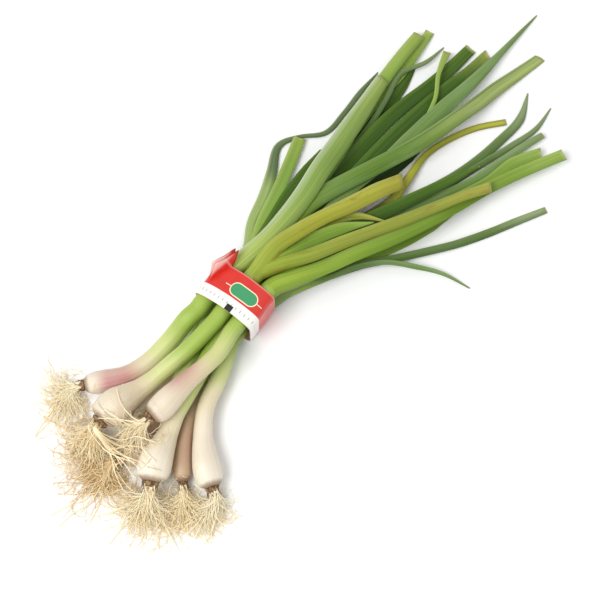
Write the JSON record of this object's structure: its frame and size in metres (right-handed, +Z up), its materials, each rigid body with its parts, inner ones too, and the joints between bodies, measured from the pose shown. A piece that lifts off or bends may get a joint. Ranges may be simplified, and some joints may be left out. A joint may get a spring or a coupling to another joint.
{
  "type": "green garlic bunch",
  "caption": "Bunch of young green garlic lying down: pale bulbs with tangled roots, stems greening into long flat leaves, tied round the middle with a red and white printed ribbon.",
  "frame": {"origin": "centre of the bunch's bounding box, on the table it lies on", "axes": "+X along the bunch from roots to leaf tips, +Z up from the table"},
  "size_m": [0.5099, 0.1754, 0.0465],
  "materials": {
    "stalk_skin": "waxy",
    "root_fibre": "dry fibre",
    "ribbon_print": "printed, semi-gloss"
  },
  "bodies": {
    "root": {"stalk_a": "stalk_skin", "stalk_b": "stalk_skin", "stalk_c": "stalk_skin", "stalk_d": "stalk_skin", "stalk_e": "stalk_skin", "stalk_f": "stalk_skin", "stalk_g": "stalk_skin", "stalk_h": "stalk_skin", "roots_a": "root_fibre", "roots_b": "root_fibre", "roots_c": "root_fibre", "roots_d": "root_fibre", "roots_e": "root_fibre", "roots_f": "root_fibre", "roots_g": "root_fibre", "roots_h": "root_fibre", "band": "ribbon_print"}
  },
  "joints": []
}
